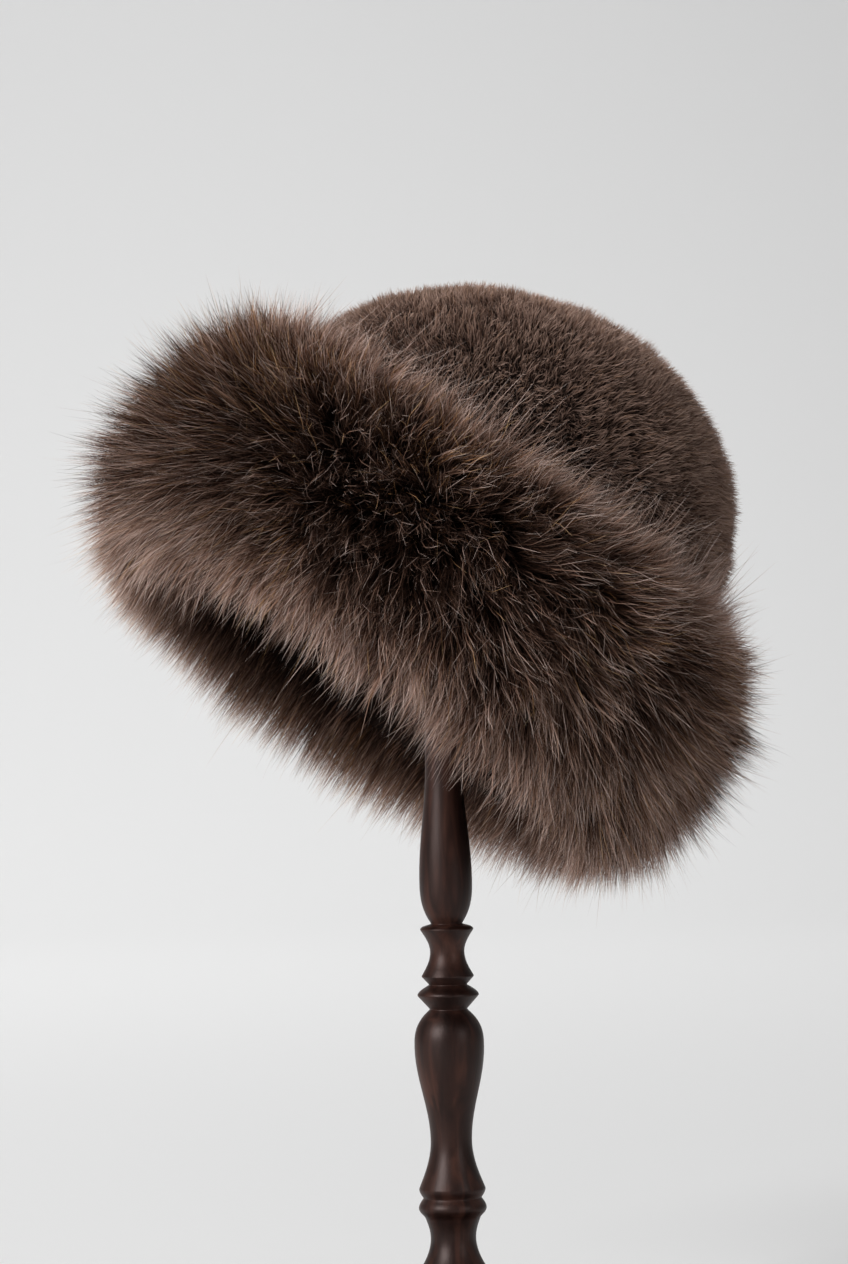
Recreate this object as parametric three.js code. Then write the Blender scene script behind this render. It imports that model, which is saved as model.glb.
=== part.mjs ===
// A fur hat with a deep round brim, on its turned wooden stand. Millimetres, +Z up.
// The origin is the middle of the foot's underside. +X is to the viewer's right and +Y away from the viewer.
// The hat is made upright about its own axis, and a nested group leans it as it hangs on the stand.

import * as THREE from 'three';

// The hat's lean and place on the stand
const HAT_LEAN_SIDE = 35.2;     // degrees, the crown's top to the viewer's right
const HAT_LEAN_BACK = 7;        // degrees, the crown's top away from the viewer
const HAT_CENTRE_X = -7;        // middle of the brim, from the stand's axis
const HAT_CENTRE_Z = 335;       // middle of the brim, above the floor

// The crown: an ellipsoid dome of short fur, then a nearly straight wall down to the rim
const CROWN_RADIUS = 113;       // outside, over the pile
const CROWN_DOME = 100;         // from its widest place to its top
const CROWN_WIDEST = 55;        // height of its widest place above the brim's middle
const CROWN_WALL = 13;          // from the inside to the tips of the pile
const RIM_RADIUS = 109.5;       // outside of the wall at the rim
const RIM_HEIGHT = -56;         // the edge of the head opening
const SLUMP = 11;               // how far the crown's top settles to the low side
const SLUMP_FROM = 60;          // the settling starts at this height

// The brim: a ring of deep fur whose section is half an ellipse on the outside
const BRIM_CREST_RADIUS = 116;  // where its top and its underside stand furthest along the axis
const BRIM_DEPTH = 49;          // from the crests out to the widest place
const BRIM_ABOVE = 69;          // from the widest place up to the top
const BRIM_BELOW = 76;          // from the widest place down to the underside
const BRIM_WIDEST = 2;          // height of the widest place
const BRIM_TOP_ON_CROWN = 66;   // where the fur's upper edge meets the crown
const BRIM_LIP_RADIUS = 97.5;   // the fur that wraps under the rim
const BRIM_LIP_HEIGHT = -66;

// How full the brim is on each side, as shares of the section's sizes above
const BRIM_FULLNESS = [
  { side: 'right', angle: 0, above: 1.0, below: 0.95, depth: 0.99 },
  { side: 'back', angle: 90, above: 1.0, below: 1.05, depth: 1.0 },
  { side: 'left', angle: 180, above: 1.05, below: 1.04, depth: 1.01 },
  { side: 'front', angle: 270, above: 0.99, below: 0.98, depth: 1.0 },
];

// The stand's foot and the knob inside the crown
const FOOT_RADIUS = 92;
const FOOT_EDGE = 7;            // height of the foot's rounded edge
const FOOT_ROUNDING = 4;        // how far the edge bulges
const FOOT_HEIGHT = 24;
const FOOT_SEAT_RADIUS = 30;    // the flat that the spindle stands on
const KNOB_RADIUS = 34;
const KNOB_TOP = 466.4;
const KNOB_DOME = 16;           // height of its low domed top
const KNOB_SIDE = 8;            // height of its rounded side
const KNOB_ROUNDING = 4;        // how far the side bulges
const KNOB_COLLAR = 4;          // height of the neck below its flare
const KNOB_FLARE = 3;           // rise of the underside out to the side
const KNOB_FLARE_RADIUS = 19;   // where the flare meets the underside
const KNOB_NECK_RADIUS = 12;
const KNOB_FOOT = 436;          // where the knob sits on the spindle

// The spindle from its foot up. Each row is a place where the outline changes, and form says how
// the outline comes up to it from the row below.
const SPINDLE = [
  { z: 24.4, radius: 24.0, form: 'line' },
  { z: 27.5, radius: 25.2, form: 'settle' },
  { z: 31.0, radius: 21.5, form: 'leave' },
  { z: 32.0, radius: 18.0, form: 'line' },
  { z: 50.4, radius: 10.2, form: 'settle' },
  { z: 60.0, radius: 12.6, form: 'leave' },
  { z: 63.9, radius: 15.3, form: 'settle' },
  { z: 68.4, radius: 13.0, form: 'leave' },
  { z: 72.6, radius: 15.0, form: 'settle' },
  { z: 94.1, radius: 9.3, form: 'settle' },
  { z: 136.8, radius: 15.7, form: 'ease' },
  { z: 153.3, radius: 8.3, form: 'round_off' },
  { z: 159.5, radius: 13.9, form: 'line' },
  { z: 164.3, radius: 8.4, form: 'leave' },
  { z: 168.1, radius: 11.9, form: 'line' },
  { z: 179.1, radius: 7.7, form: 'settle' },
  { z: 189.2, radius: 12.1, form: 'leave' },
  { z: 190.6, radius: 10.8, form: 'leave' },
  { z: 191.7, radius: 6.9, form: 'line' },
  { z: 211.0, radius: 11.9, form: 'round_out' },
  { z: 265.5, radius: 8.1, form: 'ease' },
  { z: 300.0, radius: 7.5, form: 'ease' },
  { z: 435.6, radius: 7.5, form: 'line' },
];

const SHOULDER = 2.7;           // how full the rounded shoulders of the turnings are
const TURNINGS = {
  line: { steps: 1, curve: (s) => s },
  ease: { steps: 6, curve: (s) => (1 - Math.cos(Math.PI * s)) / 2 },
  settle: { steps: 4, curve: (s) => Math.sin((Math.PI / 2) * s) },
  leave: { steps: 4, curve: (s) => 1 - Math.cos((Math.PI / 2) * s) },
  round_out: { steps: 6, curve: (s) => 1 - (1 - s) ** SHOULDER },
  round_off: { steps: 6, curve: (s) => s ** SHOULDER },
};

const GAP = 0.4;                // between pieces that touch
const HAT_FACETS = 48;          // round the hat
const TURNED_FACETS = 20;       // round the spindle and the knob
const FOOT_FACETS = 36;

const COLOURS = {
  crown_fur: { color: 0x5c4a42, roughness: 0.9 },
  brim_fur: { color: 0x4a382f, roughness: 0.95 },
  dark_wood: { color: 0x33211c, roughness: 0.35 },
};

function finish(name) {
  return new THREE.MeshStandardMaterial({ ...COLOURS[name], metalness: 0 });
}

// Points (radius, height) along part of an ellipse, its angles in degrees from the outward direction
function ellipse(radius, height, halfWidth, halfHeight, from, to, steps) {
  return Array.from({ length: steps + 1 }, (_, i) => {
    const angle = THREE.MathUtils.degToRad(THREE.MathUtils.lerp(from, to, i / steps));
    return new THREE.Vector2(radius + halfWidth * Math.cos(angle), height + halfHeight * Math.sin(angle));
  });
}

// A body of revolution about Z from a profile of (radius, height) points
function turned(profile, facets) {
  return new THREE.LatheGeometry(profile, facets).rotateX(Math.PI / 2);
}

// The crown's outside radius at a height between the rim and its top
function crownRadius(height) {
  if (height > CROWN_WIDEST) {
    return CROWN_RADIUS * Math.sqrt(1 - ((height - CROWN_WIDEST) / CROWN_DOME) ** 2);
  }
  return THREE.MathUtils.mapLinear(height, RIM_HEIGHT, CROWN_WIDEST, RIM_RADIUS, CROWN_RADIUS);
}

// A share from the fullness table at an angle round the hat, smooth between its rows
function fullness(degrees, column) {
  const rows = BRIM_FULLNESS;
  const turn = (((degrees % 360) + 360) % 360) / (360 / rows.length);
  const here = Math.floor(turn) % rows.length;
  const between = TURNINGS.ease.curve(turn - Math.floor(turn));
  return THREE.MathUtils.lerp(rows[here][column], rows[(here + 1) % rows.length][column], between);
}

// Moves each point of a geometry to the place that change gives it
function reshape(geometry, change) {
  const place = geometry.getAttribute('position');
  const point = new THREE.Vector3();
  for (let i = 0; i < place.count; i++) {
    change(point.fromBufferAttribute(place, i));
    place.setXYZ(i, point.x, point.y, point.z);
  }
  geometry.computeVertexNormals();
  return geometry;
}

// The soft crown settles towards its low side, more and more towards the top
function slump(point) {
  const share = Math.max(0, point.z - SLUMP_FROM) / (CROWN_WIDEST + CROWN_DOME - SLUMP_FROM);
  point.x += SLUMP * share ** 2;
}

function crown() {
  const inside = CROWN_RADIUS - CROWN_WALL;
  const profile = [
    ...ellipse(0, CROWN_WIDEST, inside, CROWN_DOME - CROWN_WALL, 90, 0, 10),
    new THREE.Vector2(RIM_RADIUS - CROWN_WALL, RIM_HEIGHT),
    new THREE.Vector2(RIM_RADIUS, RIM_HEIGHT),
    ...ellipse(0, CROWN_WIDEST, CROWN_RADIUS, CROWN_DOME, 0, 90, 12),
  ];
  profile[0].x = 0;
  profile[profile.length - 1].x = 0;
  const mesh = new THREE.Mesh(reshape(turned(profile, HAT_FACETS), slump), finish('crown_fur'));
  mesh.name = 'crown';
  return mesh;
}

function brim() {
  const bottom = BRIM_WIDEST - BRIM_BELOW;
  const top = BRIM_WIDEST + BRIM_ABOVE;
  const wall = (height) => crownRadius(height) + GAP;
  const shoulder = BRIM_CREST_RADIUS - wall(BRIM_TOP_ON_CROWN);
  const lip = BRIM_CREST_RADIUS - BRIM_LIP_RADIUS;
  const onCrown = [BRIM_TOP_ON_CROWN, (BRIM_TOP_ON_CROWN + CROWN_WIDEST) / 2, CROWN_WIDEST, RIM_HEIGHT - GAP];
  const profile = [
    ...onCrown.map((height) => new THREE.Vector2(wall(height), height)),
    new THREE.Vector2(BRIM_LIP_RADIUS, RIM_HEIGHT - GAP),
    ...ellipse(BRIM_CREST_RADIUS, BRIM_LIP_HEIGHT, lip, BRIM_LIP_HEIGHT - bottom, 180, 270, 4),
    ...ellipse(BRIM_CREST_RADIUS, BRIM_WIDEST, BRIM_DEPTH, BRIM_BELOW, -90, 0, 8).slice(1),
    ...ellipse(BRIM_CREST_RADIUS, BRIM_WIDEST, BRIM_DEPTH, BRIM_ABOVE, 0, 90, 8).slice(1),
    ...ellipse(BRIM_CREST_RADIUS, BRIM_TOP_ON_CROWN, shoulder, top - BRIM_TOP_ON_CROWN, 90, 180, 2).slice(1),
  ];
  profile[profile.length - 1].copy(profile[0]);

  // The side against the crown keeps its place, and the rest takes each side's fullness
  const fill = (point) => {
    const radius = Math.hypot(point.x, point.y);
    const degrees = THREE.MathUtils.radToDeg(Math.atan2(point.y, point.x));
    const clear = (radius - wall(Math.min(point.z, top))) / shoulder;
    const free = point.z < RIM_HEIGHT - 2 * GAP ? 1 : THREE.MathUtils.clamp(clear, 0, 1);
    const column = point.z > BRIM_WIDEST ? 'above' : 'below';
    const deeper = Math.max(0, radius - BRIM_CREST_RADIUS) * (fullness(degrees, 'depth') - 1);
    point.x *= 1 + deeper / radius;
    point.y *= 1 + deeper / radius;
    point.z += (point.z - BRIM_WIDEST) * (fullness(degrees, column) - 1) * free;
    slump(point);
  };
  const mesh = new THREE.Mesh(reshape(turned(profile, HAT_FACETS), fill), finish('brim_fur'));
  mesh.name = 'brim';
  return mesh;
}

function standBase() {
  const flat = FOOT_RADIUS - FOOT_ROUNDING;
  const { steps, curve } = TURNINGS.ease;
  const slope = Array.from({ length: steps }, (_, i) => new THREE.Vector2(
    THREE.MathUtils.lerp(flat, FOOT_SEAT_RADIUS, (i + 1) / steps),
    THREE.MathUtils.lerp(FOOT_EDGE, FOOT_HEIGHT, curve((i + 1) / steps)),
  ));
  const profile = [
    new THREE.Vector2(0, 0),
    ...ellipse(flat, FOOT_EDGE / 2, FOOT_ROUNDING, FOOT_EDGE / 2, -90, 90, 4),
    ...slope,
    new THREE.Vector2(0, FOOT_HEIGHT),
  ];
  const mesh = new THREE.Mesh(turned(profile, FOOT_FACETS), finish('dark_wood'));
  mesh.name = 'stand_base';
  return mesh;
}

function standSpindle() {
  const profile = [new THREE.Vector2(0, SPINDLE[0].z), new THREE.Vector2(SPINDLE[0].radius, SPINDLE[0].z)];
  for (let row = 1; row < SPINDLE.length; row++) {
    const from = SPINDLE[row - 1];
    const to = SPINDLE[row];
    const { steps, curve } = TURNINGS[to.form];
    for (let i = 1; i <= steps; i++) {
      const s = i / steps;
      profile.push(new THREE.Vector2(
        THREE.MathUtils.lerp(from.radius, to.radius, curve(s)),
        THREE.MathUtils.lerp(from.z, to.z, s),
      ));
    }
  }
  profile.push(new THREE.Vector2(0, SPINDLE[SPINDLE.length - 1].z));
  const mesh = new THREE.Mesh(turned(profile, TURNED_FACETS), finish('dark_wood'));
  mesh.name = 'stand_spindle';
  return mesh;
}

function standHead() {
  const shoulder = KNOB_TOP - KNOB_DOME;
  const underside = shoulder - KNOB_SIDE;
  const profile = [
    new THREE.Vector2(0, KNOB_FOOT),
    new THREE.Vector2(KNOB_NECK_RADIUS, KNOB_FOOT),
    new THREE.Vector2(KNOB_NECK_RADIUS, KNOB_FOOT + KNOB_COLLAR),
    new THREE.Vector2(KNOB_FLARE_RADIUS, underside - KNOB_FLARE),
    ...ellipse(KNOB_RADIUS - KNOB_ROUNDING, underside + KNOB_SIDE / 2, KNOB_ROUNDING, KNOB_SIDE / 2, -90, 60, 5),
    ...ellipse(0, shoulder, KNOB_RADIUS - KNOB_ROUNDING / 2, KNOB_DOME, 10, 90, 7),
  ];
  profile[profile.length - 1].x = 0;
  const mesh = new THREE.Mesh(turned(profile, TURNED_FACETS), finish('dark_wood'));
  mesh.name = 'stand_head';
  return mesh;
}

// The hat leans about the middle of its brim: back first, then to the side
const hat = new THREE.Group();
hat.add(crown(), brim());
hat.rotation.set(
  -THREE.MathUtils.degToRad(HAT_LEAN_BACK),
  THREE.MathUtils.degToRad(HAT_LEAN_SIDE),
  0,
  'YXZ',
);
hat.position.set(HAT_CENTRE_X, 0, HAT_CENTRE_Z);

const stand = new THREE.Group();
stand.add(standBase(), standSpindle(), standHead());

const part = new THREE.Group();
part.add(hat, stand);

export default part;
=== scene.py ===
import math

import bpy
import numpy as np
from mathutils import Matrix, Vector


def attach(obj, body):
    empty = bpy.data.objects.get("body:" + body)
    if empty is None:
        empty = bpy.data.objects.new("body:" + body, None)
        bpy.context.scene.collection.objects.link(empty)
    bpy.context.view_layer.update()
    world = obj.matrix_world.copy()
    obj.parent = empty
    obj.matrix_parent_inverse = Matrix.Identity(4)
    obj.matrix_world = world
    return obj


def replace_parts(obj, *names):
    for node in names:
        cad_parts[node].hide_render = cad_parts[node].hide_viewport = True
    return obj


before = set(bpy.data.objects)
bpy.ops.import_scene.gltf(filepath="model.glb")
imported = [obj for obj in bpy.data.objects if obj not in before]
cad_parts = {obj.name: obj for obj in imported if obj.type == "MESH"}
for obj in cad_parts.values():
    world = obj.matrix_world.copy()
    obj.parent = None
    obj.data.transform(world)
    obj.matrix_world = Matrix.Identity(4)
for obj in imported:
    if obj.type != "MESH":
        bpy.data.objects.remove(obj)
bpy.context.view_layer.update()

mm = 0.001

# Camera: level, a little rolled and a long way off
view = {
    "pixel": 0.45,           # millimetres that a pixel of the photograph shows at the stand's axis
    "distance": 2400.0,
    "roll": 1.26,            # degrees
    "postColumn": 440.2,     # pixels, where the stand's axis crosses the middle row
    "floorRow": 1350.0,
    "width": 848,
    "height": 1264,
    "sensor": 36.0,
    "farthest": 50.0,        # metres
}


def placed(name, data):
    made = bpy.data.objects.new(name, data)
    bpy.context.scene.collection.objects.link(made)
    return made


def setCamera():
    roll = math.radians(view["roll"])
    lens = bpy.data.cameras.new("camera")
    lens.sensor_fit = "VERTICAL"
    lens.sensor_height = view["sensor"]
    lens.lens = view["distance"] / view["pixel"] / view["height"] * view["sensor"]
    lens.clip_end = view["farthest"]
    camera = placed("camera", lens)
    aside = (view["postColumn"] - view["width"] / 2) * math.cos(roll) * view["pixel"]
    above = (view["floorRow"] - view["height"] / 2) * view["pixel"]
    camera.location = Vector((-aside, -view["distance"], above)) * mm
    level = Matrix.Rotation(math.pi / 2, 3, "X")
    camera.rotation_euler = (level @ Matrix.Rotation(-roll, 3, "Z")).to_euler()
    bpy.context.scene.camera = camera


setCamera()

# The hat's lean, place and outer form, in millimetres and degrees, as on its CAD nodes
hat = {
    "leanSide": 35.2,
    "leanBack": 7.0,
    "centre": (-7.0, 0.0, 335.0),
    "crownRadius": 113.0,
    "crownDome": 100.0,
    "crownWidest": 55.0,     # height
    "insideRadius": 100.0,
    "insideDome": 87.0,
    "insideRim": 96.5,
    "slump": 11.0,           # how far the crown's top settles to the low side
    "slumpFrom": 60.0,       # and the height where it starts
}


def toRow(points):
    # from millimetres about the hat's own axis to metres in the row's frame
    side = Matrix.Rotation(math.radians(hat["leanSide"]), 3, "Y")
    back = Matrix.Rotation(-math.radians(hat["leanBack"]), 3, "X")
    return (points @ np.array(side @ back).T + np.array(hat["centre"])) * mm


def slumped(points):
    # the soft crown settles to its low side, more and more towards its top
    top = hat["crownWidest"] + hat["crownDome"]
    share = np.clip((points[..., 2] - hat["slumpFrom"]) / (top - hat["slumpFrom"]), 0, None)
    moved = points.copy()
    moved[..., 0] += hat["slump"] * share**2
    return moved


def roundHat(radius, height, angles):
    # points for a row of angles by a column of section steps
    around = angles[:, None]
    return toRow(slumped(np.stack([radius * np.cos(around), radius * np.sin(around), height], axis=-1)))


def fromTable(degrees, table):
    return np.interp(degrees, list(table), list(table.values()))


def roundHatTable(angles, table):
    return fromTable(np.degrees(angles), table)[:, None]


def fullTurn(steps):
    return np.linspace(0, 2 * math.pi, steps, endpoint=False)


def newObject(name, points, faces):
    mesh = bpy.data.meshes.new(name)
    mesh.from_pydata(points.tolist(), [], faces)
    return placed(name, mesh)


def tellTriangles(name, mesh):
    print(name, "triangles", len(mesh.loops) - 2 * len(mesh.polygons))


def ringSkin(name, points, closedSection=False, poles=False, attributes=None):
    # a skin that closes round an axis, from a grid of points. "poles" closes its first and last rings too
    around, along = points.shape[:2]
    i = np.arange(around)[:, None]
    j = np.arange(along if closedSection else along - 1)[None, :]
    i2 = (i + 1) % around
    j2 = (j + 1) % along
    faces = np.stack([i * along + j, i2 * along + j, i2 * along + j2, i * along + j2], axis=-1)
    faces = faces.reshape(-1, 4).tolist()
    corners = points.reshape(-1, 3)
    if poles:
        first = len(corners)
        corners = np.concatenate([corners, points[:, :1].mean(axis=0), points[:, -1:].mean(axis=0)])
        for here in range(around):
            following = (here + 1) % around
            faces.append([first, following * along, here * along])
            faces.append([first + 1, here * along + along - 1, following * along + along - 1])
    made = newObject(name, corners, faces)
    for key, values in (attributes or {}).items():
        values = np.ascontiguousarray(values, dtype=np.float32)
        kind, field = ("FLOAT_VECTOR", "vector") if values.ndim == 3 else ("FLOAT", "value")
        made.data.attributes.new(key, kind, "POINT").data.foreach_set(field, values.ravel())
    made.data.shade_smooth()
    return made


def remove(*things):
    for thing in things:
        mesh = thing.data
        bpy.data.objects.remove(thing)
        bpy.data.meshes.remove(mesh)


# Short ways to add a node and to link or set its inputs
def setInputs(tree, node, values):
    for key, value in values.items():
        if isinstance(value, bpy.types.NodeSocket):
            tree.links.new(value, node.inputs[key])
        else:
            node.inputs[key].default_value = value


def addNode(tree, kind, values=None, **settings):
    made = tree.nodes.new(kind)
    for key, value in settings.items():
        setattr(made, key, value)
    setInputs(tree, made, values or {})
    return made


def maths(tree, operation, *values):
    return addNode(tree, "ShaderNodeMath", dict(enumerate(values)), operation=operation).outputs[0]


def vectors(tree, operation, *values, scale=None):
    given = dict(enumerate(values))
    if scale is not None:
        given["Scale"] = scale
    made = addNode(tree, "ShaderNodeVectorMath", given, operation=operation)
    return made.outputs["Value" if operation in ("DOT_PRODUCT", "LENGTH") else "Vector"]


def split(tree, vector):
    return addNode(tree, "ShaderNodeSeparateXYZ", {0: vector}).outputs


def noise(tree, where, scale, detail, distortion=0.0):
    values = {"Vector": where, "Scale": scale, "Detail": detail, "Distortion": distortion}
    return addNode(tree, "ShaderNodeTexNoise", values, noise_dimensions="3D").outputs


def blended(tree, amount, first, second, blend="MIX"):
    values = {0: amount, 6: first, 7: second}
    return addNode(tree, "ShaderNodeMix", values, data_type="RGBA", blend_type=blend).outputs[2]


def ramp(tree, amount, *stops):
    made = addNode(tree, "ShaderNodeValToRGB", {"Fac": amount})
    elements = made.color_ramp.elements
    while len(elements) < len(stops):
        elements.new(0.5)
    for element, (place, colour) in zip(elements, stops):
        element.position = place
        element.color = (*colour, 1)
    return made.outputs["Color"]


def newMaterial(name):
    material = bpy.data.materials.new(name)
    material.use_nodes = True
    return material, material.node_tree, material.node_tree.nodes["Principled BSDF"]


# The fur: hairs are blades that grow along the pelt's "reach", gather in tufts and taper to a point
furInputs = {
    "Density": 1.0,          # hairs a square metre
    "Seed": 1,
    "Length Share": 1.0,     # of the way from the pelt to the fur's outer form
    "Length Spread": 0.42,
    "Width": 0.00048,        # metres, as the other lengths here
    "Lock Size": 0.018,      # big locks, with tufts in them
    "Lock Pull": 0.22,
    "Tuft Size": 0.0050,
    "Tuft Pull": 0.76,
    "Tuft Lean": 0.0044,     # how far a tuft leans its own way
    "Tuft Length": 0.20,     # how much tufts differ in length
    "Wave": 0.0013,          # a bend that the hairs of a tuft share
    "Drift": 0.0050,         # a slow lean of whole regions
    "Stray": 0.0028,         # how far each tip strays by itself
    "Curl": 0.0010,
    "Droop": 0.04,           # share of the length
    "Tone Spread": 0.76,
    "Tuft Tone": 0.42,
    "Tone Shift": 0.0,
    "Silver": 0.05,          # share of hairs that are paler by "Silver Tone"
    "Silver Tone": 0.55,
}

# What is the same in every fur. The noise scales are in waves a metre
furPattern = {
    "raggedScale": 160.0,
    "ragged": 1.2,           # how far noise moves the borders of locks and tufts, in tufts
    "driftScale": 38.0,
    "drift": 4.0,
    "detail": 1.0,
    "patchScale": 30.0,      # of the shades
    "patchDetail": 2.0,
    "tuftFuller": 1.3,       # what a tuft and its lock do to how long their hairs are
    "lockFuller": 0.7,
    "tuftLean": 2.0,
    "lockLean": 1.6,
    "waveAxis": (0.48, 0.60, 0.64),
    "goldenGain": 1.6,       # golden hairs keep to patches
    "goldenFrom": -0.55,
    "palest": 0.999,         # just under 1, so that it still has a column of the bake map
    "tip": 0.499,            # the blade's strip runs from -0.5 to 0.5, and pinches shut past this
    "merge": 0.01,
    "taper": 0.5,
}

# Each random draw: the number that it adds to the seed, its lowest value and its highest
furDraws = {
    "shorter": (1, 0, 1),
    "pull": (2, 0.35, 1.0),
    "curl": (5, 0.2, 1.5),
    "wave": (6, 0.4, 1.2),
    "width": (8, 0.55, 1.2),
    "shade": (9, -0.5, 0.5),
    "silver": (10, 0, 1),
    "golden": (12, 0, 1),
}
furTurns = {"stray": 3, "curl": 4, "blade": 7}   # and what each random direction adds to it

# The shades, and as many again for the golden hairs: each is a column of the bake map
toneSteps = 48
bakeMap = {"margin": 0.01, "wide": 0.7}          # shares of the map's height and of a column's width


def furTree(name, segments):
    tree = bpy.data.node_groups.new(name, "GeometryNodeTree")
    face = tree.interface
    face.new_socket("Geometry", in_out="OUTPUT", socket_type="NodeSocketGeometry")
    face.new_socket("Geometry", in_out="INPUT", socket_type="NodeSocketGeometry")
    for key, value in furInputs.items():
        kind = "NodeSocketInt" if key == "Seed" else "NodeSocketFloat"
        face.new_socket(key, in_out="INPUT", socket_type=kind).default_value = value
    face.new_socket("Material", in_out="INPUT", socket_type="NodeSocketMaterial")
    given = tree.nodes.new("NodeGroupInput").outputs

    def attribute(key, kind="FLOAT"):
        return addNode(tree, "GeometryNodeInputNamedAttribute", {"Name": key}, data_type=kind).outputs[0]

    def stored(geometry, key, value):
        values = {"Geometry": geometry, "Name": key, "Value": value}
        made = addNode(tree, "GeometryNodeStoreNamedAttribute", values, data_type="FLOAT", domain="POINT")
        return made.outputs[0]

    def times(*values):
        product = values[0]
        for value in values[1:]:
            product = maths(tree, "MULTIPLY", product, value)
        return product

    def scaled(vector, *amounts):
        return vectors(tree, "SCALE", vector, scale=times(*amounts))

    def total(*parts):
        made = parts[0]
        for part in parts[1:]:
            made = vectors(tree, "ADD", made, part)
        return made

    def centred(vector):
        return vectors(tree, "SUBTRACT", vector, (0.5, 0.5, 0.5))

    def chance(key):
        salt, low, high = furDraws[key]
        values = {2: low, 3: high, "Seed": maths(tree, "ADD", given["Seed"], salt)}
        return addNode(tree, "FunctionNodeRandomValue", values, data_type="FLOAT").outputs[1]

    def direction(key):
        seed = maths(tree, "ADD", given["Seed"], furTurns[key])
        values = {0: (-1, -1, -1), 1: (1, 1, 1), "Seed": seed}
        made = addNode(tree, "FunctionNodeRandomValue", values, data_type="FLOAT_VECTOR")
        return vectors(tree, "NORMALIZE", made.outputs[0])

    # where the hairs root, and where they would end
    thick = times(attribute("thick"), given["Density"])
    values = {"Mesh": given["Geometry"], "Density": thick, "Seed": given["Seed"]}
    points = addNode(tree, "GeometryNodeDistributePointsOnFaces", values, distribute_method="RANDOM")
    root = tree.nodes.new("GeometryNodeInputPosition").outputs[0]
    reach = attribute("reach", "FLOAT_VECTOR")
    onForm = total(root, reach)
    heading = vectors(tree, "NORMALIZE", reach)

    def across(vector):
        # what is left of a vector without its share along the hair
        lengthwise = scaled(heading, vectors(tree, "DOT_PRODUCT", vector, heading))
        return vectors(tree, "SUBTRACT", vector, lengthwise)

    def gathered(size, pull, jitter):
        values = {"Vector": total(onForm, jitter), "Scale": maths(tree, "DIVIDE", 1.0, size)}
        cells = addNode(tree, "ShaderNodeTexVoronoi", values, voronoi_dimensions="3D", feature="F1").outputs
        inward = across(vectors(tree, "SUBTRACT", cells["Position"], onForm))
        return scaled(inward, pull), centred(cells["Color"])

    # locks and tufts, with ragged borders
    ragged = noise(tree, onForm, furPattern["raggedScale"], furPattern["detail"])["Color"]
    ragged = scaled(centred(ragged), given["Tuft Size"], furPattern["ragged"])
    toLock, lockOwn = gathered(given["Lock Size"], given["Lock Pull"], ragged)
    toTuft, tuftOwn = gathered(given["Tuft Size"], times(given["Tuft Pull"], chance("pull")), ragged)
    tuftNumber = split(tree, tuftOwn)
    lockNumber = split(tree, lockOwn)

    # how long each hair is
    fuller = maths(tree, "ADD", times(tuftNumber["X"], furPattern["tuftFuller"]),
                   times(lockNumber["Z"], furPattern["lockFuller"]))
    share = maths(tree, "SUBTRACT", 1.0, times(chance("shorter"), given["Length Spread"]))
    share = maths(tree, "ADD", share, times(fuller, given["Tuft Length"]))
    span = scaled(reach, times(share, given["Length Share"]))
    length = vectors(tree, "LENGTH", span)

    # where its tip goes
    drift = noise(tree, onForm, furPattern["driftScale"], furPattern["detail"])["Color"]
    drift = scaled(centred(drift), given["Drift"], furPattern["drift"])
    lean = total(scaled(across(tuftOwn), given["Tuft Lean"], furPattern["tuftLean"]),
                 scaled(across(lockOwn), given["Tuft Lean"], furPattern["lockLean"]))
    fall = addNode(tree, "ShaderNodeCombineXYZ", {2: times(length, given["Droop"], -1.0)}).outputs[0]
    shift = total(toLock, toTuft, lean, drift, fall, scaled(direction("stray"), given["Stray"]))

    # how it bends on the way: tufts share a wave, and each hair has a curl of its own
    twisted = vectors(tree, "CROSS_PRODUCT", tuftOwn, furPattern["waveAxis"])
    wave = scaled(across(vectors(tree, "NORMALIZE", twisted)), given["Wave"], chance("wave"))
    curl = scaled(across(direction("curl")), given["Curl"], chance("curl"))
    broadSide = vectors(tree, "NORMALIZE", vectors(tree, "CROSS_PRODUCT", heading, direction("blade")))
    width = times(given["Width"], chance("width"))

    # its shade, in even steps
    patch = noise(tree, root, furPattern["patchScale"], furPattern["patchDetail"])[0]
    uneven = maths(tree, "ADD", maths(tree, "SUBTRACT", patch, 0.5), chance("shade"))
    tone = maths(tree, "MULTIPLY_ADD", uneven, given["Tone Spread"], attribute("pale"))
    tone = maths(tree, "MULTIPLY_ADD", tuftNumber["Y"], given["Tuft Tone"], tone)
    tone = maths(tree, "ADD", tone, given["Tone Shift"])
    silver = maths(tree, "LESS_THAN", chance("silver"), given["Silver"])
    tone = maths(tree, "MULTIPLY_ADD", silver, given["Silver Tone"], tone)
    values = {"Value": tone, "Min": 0.0, "Max": furPattern["palest"]}
    tone = times(addNode(tree, "ShaderNodeClamp", values).outputs[0], float(toneSteps))
    tone = maths(tree, "DIVIDE", maths(tree, "FLOOR", tone), float(toneSteps))

    golden = maths(tree, "MULTIPLY_ADD", patch, furPattern["goldenGain"], furPattern["goldenFrom"])
    golden = maths(tree, "LESS_THAN", chance("golden"), times(golden, attribute("golden")))

    # each root keeps what its hair needs
    values = {"Geometry": points.outputs["Points"]}
    kept = addNode(tree, "GeometryNodeCaptureAttribute", values, domain="POINT")
    saved = kept.outputs
    arrows = {"root": root, "span": span, "shift": shift, "curl": curl, "wave": wave,
              "broadSide": broadSide}
    numbers = {"width": width, "tone": tone, "golden": golden}
    for kind, fields in (("VECTOR", arrows), ("FLOAT", numbers)):
        for key, socket in fields.items():
            kept.capture_items.new(kind, key)
            tree.links.new(socket, kept.inputs[key])

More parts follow.
